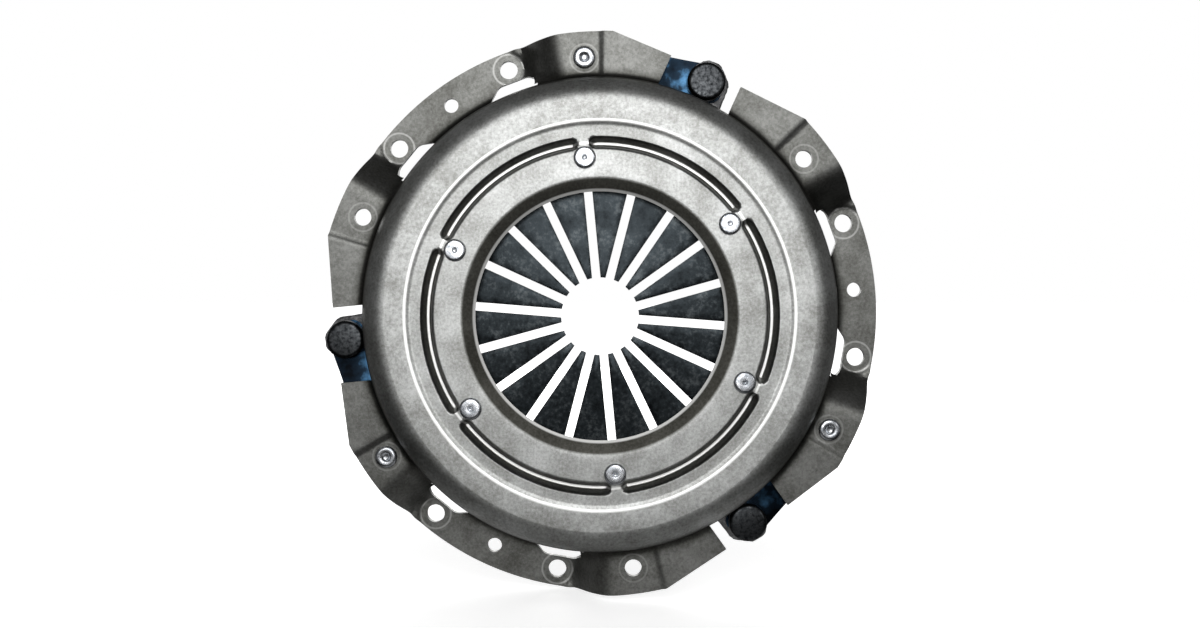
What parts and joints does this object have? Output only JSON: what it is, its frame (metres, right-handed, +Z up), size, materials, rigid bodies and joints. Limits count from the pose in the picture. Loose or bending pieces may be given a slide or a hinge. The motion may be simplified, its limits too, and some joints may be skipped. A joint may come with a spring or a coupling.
{
  "type": "clutch pressure plate",
  "caption": "Diaphragm-spring clutch cover assembly: domed steel cover, spring fingers, leaf straps and a flat cast pressure ring that lifts away from the flywheel side.",
  "frame": {"origin": "centre of the bolt circle on the cover's mounting plane", "axes": "+Y toward the flywheel along the clutch axis, the cover's dome bulges toward -Y, +Z up, and the first mounting pad is centred 5.5 degrees from +X toward +Z"},
  "size_m": [0.226, 0.039, 0.2264],
  "materials": {
    "cover_steel": "fine bead-blasted and oiled grey steel",
    "cast_iron": "grey iron, friction face ground, the rest as cast",
    "spring_steel": "hardened spring steel with a blue-black heat tint",
    "zinc_steel": "bright zinc-plated rivet steel",
    "dark_steel": "black-blue oxide",
    "blued_steel": "blued spring strip"
  },
  "bodies": {
    "cover": {"cover": "cover_steel", "fulcrum_ring": "spring_steel", "fulcrum_rivet_1": "zinc_steel", "fulcrum_rivet_2": "zinc_steel", "fulcrum_rivet_3": "zinc_steel", "fulcrum_rivet_4": "zinc_steel", "fulcrum_rivet_5": "zinc_steel", "fulcrum_rivet_6": "zinc_steel", "ear_rivet_1": "zinc_steel", "ear_rivet_2": "zinc_steel", "ear_rivet_3": "zinc_steel", "strap_1_inner_leaf": "blued_steel", "strap_1_outer_leaf": "blued_steel", "strap_2_inner_leaf": "blued_steel", "strap_2_outer_leaf": "blued_steel", "strap_3_inner_leaf": "blued_steel", "strap_3_outer_leaf": "blued_steel"},
    "pressure_plate": {"pressure_plate": "cast_iron", "lug_rivet_1": "dark_steel", "lug_rivet_2": "dark_steel", "lug_rivet_3": "dark_steel"},
    "finger_01": {"spring_finger_01": "spring_steel"},
    "finger_02": {"spring_finger_02": "spring_steel"},
    "finger_03": {"spring_finger_03": "spring_steel"},
    "finger_04": {"spring_finger_04": "spring_steel"},
    "finger_05": {"spring_finger_05": "spring_steel"},
    "finger_06": {"spring_finger_06": "spring_steel"},
    "finger_07": {"spring_finger_07": "spring_steel"},
    "finger_08": {"spring_finger_08": "spring_steel"},
    "finger_09": {"spring_finger_09": "spring_steel"},
    "finger_10": {"spring_finger_10": "spring_steel"},
    "finger_11": {"spring_finger_11": "spring_steel"},
    "finger_12": {"spring_finger_12": "spring_steel"},
    "finger_13": {"spring_finger_13": "spring_steel"},
    "finger_14": {"spring_finger_14": "spring_steel"},
    "finger_15": {"spring_finger_15": "spring_steel"},
    "finger_16": {"spring_finger_16": "spring_steel"},
    "finger_17": {"spring_finger_17": "spring_steel"},
    "finger_18": {"spring_finger_18": "spring_steel"}
  },
  "joints": [
    {"name": "plate_slide", "type": "slide", "parent": "cover", "child": "pressure_plate", "axis": [0, -1, 0], "range_m": [0, 0.0031], "deforming": ["strap_1_inner_leaf", "strap_1_outer_leaf", "strap_2_inner_leaf", "strap_2_outer_leaf", "strap_3_inner_leaf", "strap_3_outer_leaf"]},
    {"name": "finger_01_tilt", "type": "hinge", "parent": "cover", "child": "finger_01", "pos_m": [0.06639, -0.0286, 0.00639], "axis": [0.0958, 0, -0.9954], "range_deg": [0, 15.1]},
    {"name": "finger_02_tilt", "type": "hinge", "parent": "cover", "child": "finger_02", "pos_m": [0.0602, -0.0286, 0.02872], "axis": [0.4305, 0, -0.9026], "range_deg": [0, 15.1]},
    {"name": "finger_03_tilt", "type": "hinge", "parent": "cover", "child": "finger_03", "pos_m": [0.04675, -0.0286, 0.04757], "axis": [0.7133, 0, -0.7009], "range_deg": [0, 15.1]},
    {"name": "finger_04_tilt", "type": "hinge", "parent": "cover", "child": "finger_04", "pos_m": [0.02766, -0.0286, 0.06069], "axis": [0.91, 0, -0.4147], "range_deg": [0, 15.1]},
    {"name": "finger_05_tilt", "type": "hinge", "parent": "cover", "child": "finger_05", "pos_m": [0.00523, -0.0286, 0.06649], "axis": [0.9969, 0, -0.0785], "range_deg": [0, 15.1]},
    {"name": "finger_06_tilt", "type": "hinge", "parent": "cover", "child": "finger_06", "pos_m": [-0.01782, -0.0286, 0.06427], "axis": [0.9636, 0, 0.2672], "range_deg": [0, 15.1]},
    {"name": "finger_07_tilt", "type": "hinge", "parent": "cover", "child": "finger_07", "pos_m": [-0.03873, -0.0286, 0.0543], "axis": [0.8141, 0, 0.5807], "range_deg": [0, 15.1]},
    {"name": "finger_08_tilt", "type": "hinge", "parent": "cover", "child": "finger_08", "pos_m": [-0.05497, -0.0286, 0.03778], "axis": [0.5664, 0, 0.8241], "range_deg": [0, 15.1]},
    {"name": "finger_09_tilt", "type": "hinge", "parent": "cover", "child": "finger_09", "pos_m": [-0.06458, -0.0286, 0.0167], "axis": [0.2504, 0, 0.9681], "range_deg": [0, 15.1]},
    {"name": "finger_10_tilt", "type": "hinge", "parent": "cover", "child": "finger_10", "pos_m": [-0.06639, -0.0286, -0.00639], "axis": [-0.0958, 0, 0.9954], "range_deg": [0, 15.1]},
    {"name": "finger_11_tilt", "type": "hinge", "parent": "cover", "child": "finger_11", "pos_m": [-0.0602, -0.0286, -0.02872], "axis": [-0.4305, 0, 0.9026], "range_deg": [0, 15.1]},
    {"name": "finger_12_tilt", "type": "hinge", "parent": "cover", "child": "finger_12", "pos_m": [-0.04675, -0.0286, -0.04757], "axis": [-0.7133, 0, 0.7009], "range_deg": [0, 15.1]},
    {"name": "finger_13_tilt", "type": "hinge", "parent": "cover", "child": "finger_13", "pos_m": [-0.02766, -0.0286, -0.06069], "axis": [-0.91, 0, 0.4147], "range_deg": [0, 15.1]},
    {"name": "finger_14_tilt", "type": "hinge", "parent": "cover", "child": "finger_14", "pos_m": [-0.00523, -0.0286, -0.06649], "axis": [-0.9969, 0, 0.0785], "range_deg": [0, 15.1]},
    {"name": "finger_15_tilt", "type": "hinge", "parent": "cover", "child": "finger_15", "pos_m": [0.01782, -0.0286, -0.06427], "axis": [-0.9636, 0, -0.2672], "range_deg": [0, 15.1]},
    {"name": "finger_16_tilt", "type": "hinge", "parent": "cover", "child": "finger_16", "pos_m": [0.03873, -0.0286, -0.0543], "axis": [-0.8141, 0, -0.5807], "range_deg": [0, 15.1]},
    {"name": "finger_17_tilt", "type": "hinge", "parent": "cover", "child": "finger_17", "pos_m": [0.05497, -0.0286, -0.03778], "axis": [-0.5664, 0, -0.8241], "range_deg": [0, 15.1]},
    {"name": "finger_18_tilt", "type": "hinge", "parent": "cover", "child": "finger_18", "pos_m": [0.06458, -0.0286, -0.0167], "axis": [-0.2504, 0, -0.9681], "range_deg": [0, 15.1]}
  ],
  "couplings": [
    {"joint": "finger_01_tilt", "follows": "plate_slide", "rad_per_m": 84.746},
    {"joint": "finger_02_tilt", "follows": "plate_slide", "rad_per_m": 84.746},
    {"joint": "finger_03_tilt", "follows": "plate_slide", "rad_per_m": 84.746},
    {"joint": "finger_04_tilt", "follows": "plate_slide", "rad_per_m": 84.746},
    {"joint": "finger_05_tilt", "follows": "plate_slide", "rad_per_m": 84.746},
    {"joint": "finger_06_tilt", "follows": "plate_slide", "rad_per_m": 84.746},
    {"joint": "finger_07_tilt", "follows": "plate_slide", "rad_per_m": 84.746},
    {"joint": "finger_08_tilt", "follows": "plate_slide", "rad_per_m": 84.746},
    {"joint": "finger_09_tilt", "follows": "plate_slide", "rad_per_m": 84.746},
    {"joint": "finger_10_tilt", "follows": "plate_slide", "rad_per_m": 84.746},
    {"joint": "finger_11_tilt", "follows": "plate_slide", "rad_per_m": 84.746},
    {"joint": "finger_12_tilt", "follows": "plate_slide", "rad_per_m": 84.746},
    {"joint": "finger_13_tilt", "follows": "plate_slide", "rad_per_m": 84.746},
    {"joint": "finger_14_tilt", "follows": "plate_slide", "rad_per_m": 84.746},
    {"joint": "finger_15_tilt", "follows": "plate_slide", "rad_per_m": 84.746},
    {"joint": "finger_16_tilt", "follows": "plate_slide", "rad_per_m": 84.746},
    {"joint": "finger_17_tilt", "follows": "plate_slide", "rad_per_m": 84.746},
    {"joint": "finger_18_tilt", "follows": "plate_slide", "rad_per_m": 84.746}
  ]
}
